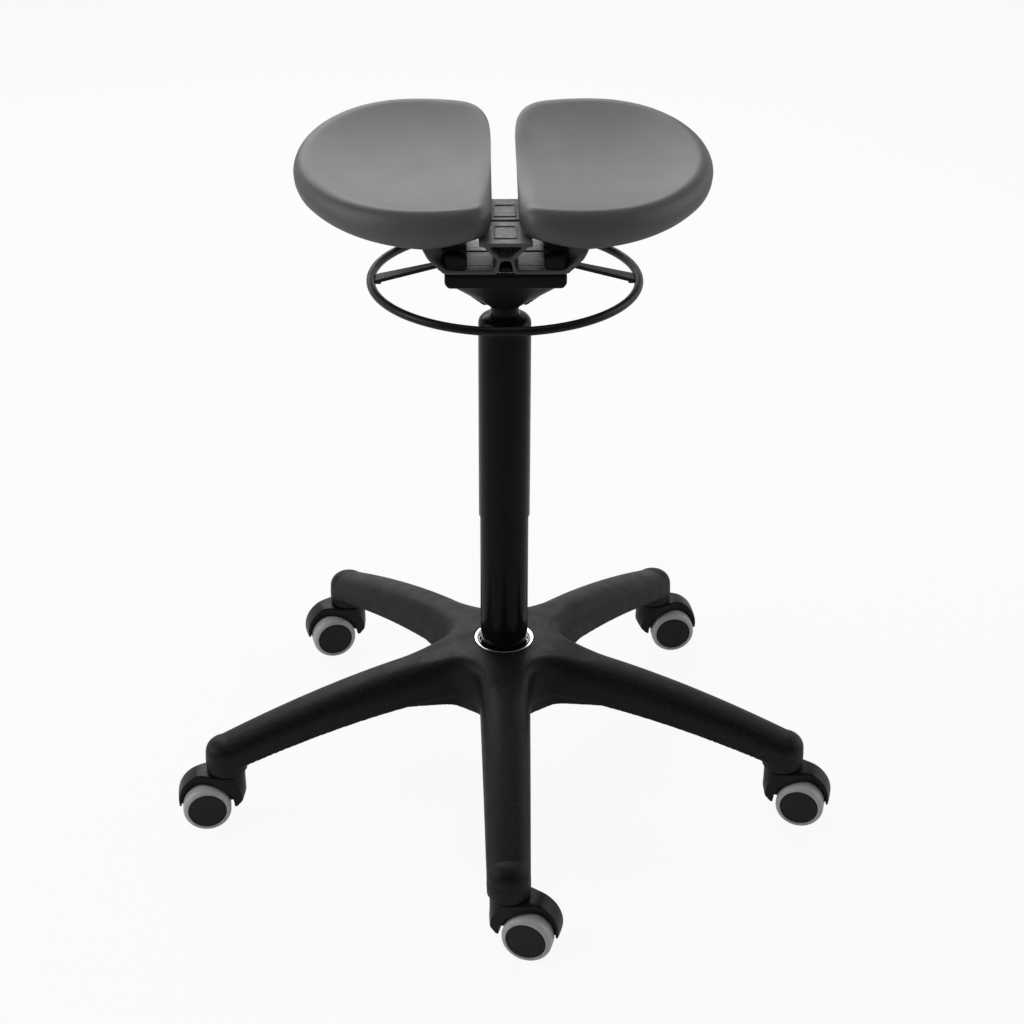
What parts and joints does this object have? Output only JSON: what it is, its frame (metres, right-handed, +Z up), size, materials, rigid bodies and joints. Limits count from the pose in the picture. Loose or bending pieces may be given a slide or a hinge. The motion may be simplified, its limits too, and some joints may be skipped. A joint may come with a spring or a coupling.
{
  "type": "work stool",
  "caption": "Height-adjustable saddle work stool: split padded seat on a gas lift column with a release ring below it, and a star base on twin-wheel casters.",
  "frame": {"origin": "on the floor under the column's axis", "axes": "+Z up along the column, -Y towards the front leg and the front of the seat, +X to the right as seen from the front"},
  "size_m": [0.6938, 0.6164, 0.6789],
  "materials": {
    "base_nylon": "black textured nylon",
    "black_steel": "black satin powder coat",
    "zinc_steel": "bright zinc",
    "bush_plastic": "pale acetal",
    "ring_metal": "dark satin metal",
    "carrier_metal": "grey cast metal, satin",
    "seat_foam": "grey integral skin foam, matte",
    "shell_plastic": "black moulded plastic",
    "mount_rubber": "black rubber",
    "hood_nylon": "black nylon",
    "wheel_tread": "light grey soft tread on a black core"
  },
  "bodies": {
    "base": {"star_base": "base_nylon", "base_sleeve": "zinc_steel", "stand_tube": "black_steel", "guide_bush": "bush_plastic"},
    "piston": {"piston_rod": "zinc_steel", "thrust_bearing": "zinc_steel", "retaining_clip": "zinc_steel"},
    "upper": {"gas_cylinder": "black_steel", "cover_tube": "black_steel", "mechanism_housing": "black_steel", "mounting_plate": "zinc_steel", "lever_pin": "zinc_steel", "front_carrier": "carrier_metal", "rear_carrier": "carrier_metal", "front_left_rubber_mount": "mount_rubber", "front_right_rubber_mount": "mount_rubber", "rear_left_rubber_mount": "mount_rubber", "rear_right_rubber_mount": "mount_rubber", "front_left_carrier_screw": "zinc_steel", "front_right_carrier_screw": "zinc_steel", "rear_left_carrier_screw": "zinc_steel", "rear_right_carrier_screw": "zinc_steel", "front_left_seat_screw": "zinc_steel", "front_right_seat_screw": "zinc_steel", "rear_left_seat_screw": "zinc_steel", "rear_right_seat_screw": "zinc_steel", "seat_shell_left": "shell_plastic", "seat_shell_right": "shell_plastic", "seat_pad_left": "seat_foam", "seat_pad_right": "seat_foam"},
    "lever": {"release_ring": "ring_metal", "lever_plate": "zinc_steel"},
    "button": {"release_button": "zinc_steel"},
    "front_caster": {"front_caster_hood": "hood_nylon", "front_caster_axle": "zinc_steel", "front_caster_stem": "zinc_steel"},
    "front_caster_left_wheel": {"front_caster_left_wheel": "wheel_tread"},
    "front_caster_right_wheel": {"front_caster_right_wheel": "wheel_tread"},
    "front_right_caster": {"front_right_caster_hood": "hood_nylon", "front_right_caster_axle": "zinc_steel", "front_right_caster_stem": "zinc_steel"},
    "front_right_caster_left_wheel": {"front_right_caster_left_wheel": "wheel_tread"},
    "front_right_caster_right_wheel": {"front_right_caster_right_wheel": "wheel_tread"},
    "rear_right_caster": {"rear_right_caster_hood": "hood_nylon", "rear_right_caster_axle": "zinc_steel", "rear_right_caster_stem": "zinc_steel"},
    "rear_right_caster_left_wheel": {"rear_right_caster_left_wheel": "wheel_tread"},
    "rear_right_caster_right_wheel": {"rear_right_caster_right_wheel": "wheel_tread"},
    "rear_left_caster": {"rear_left_caster_hood": "hood_nylon", "rear_left_caster_axle": "zinc_steel", "rear_left_caster_stem": "zinc_steel"},
    "rear_left_caster_left_wheel": {"rear_left_caster_left_wheel": "wheel_tread"},
    "rear_left_caster_right_wheel": {"rear_left_caster_right_wheel": "wheel_tread"},
    "front_left_caster": {"front_left_caster_hood": "hood_nylon", "front_left_caster_axle": "zinc_steel", "front_left_caster_stem": "zinc_steel"},
    "front_left_caster_left_wheel": {"front_left_caster_left_wheel": "wheel_tread"},
    "front_left_caster_right_wheel": {"front_left_caster_right_wheel": "wheel_tread"}
  },
  "joints": [
    {"name": "seat_swivel", "type": "hinge", "parent": "base", "child": "piston", "pos_m": [0, 0, 0.2], "axis": [0, 0, 1], "continuous": true},
    {"name": "height_slide", "type": "slide", "parent": "piston", "child": "upper", "axis": [0, 0, 1], "range_m": [-0.13, 0]},
    {"name": "ring_lift", "type": "hinge", "parent": "upper", "child": "lever", "pos_m": [0, -0.024, 0.5905], "axis": [1, 0, 0], "range_deg": [-6, 0], "stiffness_Nm_per_rad": 6, "springref_deg": 11.46},
    {"name": "button_travel", "type": "slide", "parent": "upper", "child": "button", "axis": [0, 0, 1], "range_m": [-0.0026, 0]},
    {"name": "front_caster_swivel", "type": "hinge", "parent": "base", "child": "front_caster", "pos_m": [0, -0.306, 0.07], "axis": [0, 0, 1], "continuous": true},
    {"name": "front_caster_left_roll", "type": "hinge", "parent": "front_caster", "child": "front_caster_left_wheel", "pos_m": [0.02211, -0.31234, 0.025], "axis": [0.2756, 0.9613, 0], "continuous": true},
    {"name": "front_caster_right_roll", "type": "hinge", "parent": "front_caster", "child": "front_caster_right_wheel", "pos_m": [0.02211, -0.31234, 0.025], "axis": [0.2756, 0.9613, 0], "continuous": true},
    {"name": "front_right_caster_swivel", "type": "hinge", "parent": "base", "child": "front_right_caster", "pos_m": [0.29102, -0.09456, 0.07], "axis": [0, 0, 1], "continuous": true},
    {"name": "front_right_caster_left_roll", "type": "hinge", "parent": "front_right_caster", "child": "front_right_caster_left_wheel", "pos_m": [0.31324, -0.10051, 0.025], "axis": [0.2588, 0.9659, 0], "continuous": true},
    {"name": "front_right_caster_right_roll", "type": "hinge", "parent": "front_right_caster", "child": "front_right_caster_right_wheel", "pos_m": [0.31324, -0.10051, 0.025], "axis": [0.2588, 0.9659, 0], "continuous": true},
    {"name": "rear_right_caster_swivel", "type": "hinge", "parent": "base", "child": "rear_right_caster", "pos_m": [0.17986, 0.24756, 0.07], "axis": [0, 0, 1], "continuous": true},
    {"name": "rear_right_caster_left_roll", "type": "hinge", "parent": "rear_right_caster", "child": "rear_right_caster_left_wheel", "pos_m": [0.20278, 0.24956, 0.025], "axis": [-0.0872, 0.9962, 0], "continuous": true},
    {"name": "rear_right_caster_right_roll", "type": "hinge", "parent": "rear_right_caster", "child": "rear_right_caster_right_wheel", "pos_m": [0.20278, 0.24956, 0.025], "axis": [-0.0872, 0.9962, 0], "continuous": true},
    {"name": "rear_left_caster_swivel", "type": "hinge", "parent": "base", "child": "rear_left_caster", "pos_m": [-0.17986, 0.24756, 0.07], "axis": [0, 0, 1], "continuous": true},
    {"name": "rear_left_caster_left_roll", "type": "hinge", "parent": "rear_left_caster", "child": "rear_left_caster_left_wheel", "pos_m": [-0.20208, 0.24161, 0.025], "axis": [0.2588, -0.9659, 0], "continuous": true},
    {"name": "rear_left_caster_right_roll", "type": "hinge", "parent": "rear_left_caster", "child": "rear_left_caster_right_wheel", "pos_m": [-0.20208, 0.24161, 0.025], "axis": [0.2588, -0.9659, 0], "continuous": true},
    {"name": "front_left_caster_swivel", "type": "hinge", "parent": "base", "child": "front_left_caster", "pos_m": [-0.29102, -0.09456, 0.07], "axis": [0, 0, 1], "continuous": true},
    {"name": "front_left_caster_left_roll", "type": "hinge", "parent": "front_left_caster", "child": "front_left_caster_left_wheel", "pos_m": [-0.31385, -0.09736, 0.025], "axis": [0.1219, -0.9925, 0], "continuous": true},
    {"name": "front_left_caster_right_roll", "type": "hinge", "parent": "front_left_caster", "child": "front_left_caster_right_wheel", "pos_m": [-0.31385, -0.09736, 0.025], "axis": [0.1219, -0.9925, 0], "continuous": true}
  ],
  "couplings": [
    {"joint": "button_travel", "follows": "ring_lift", "m_per_rad": 0.024}
  ]
}
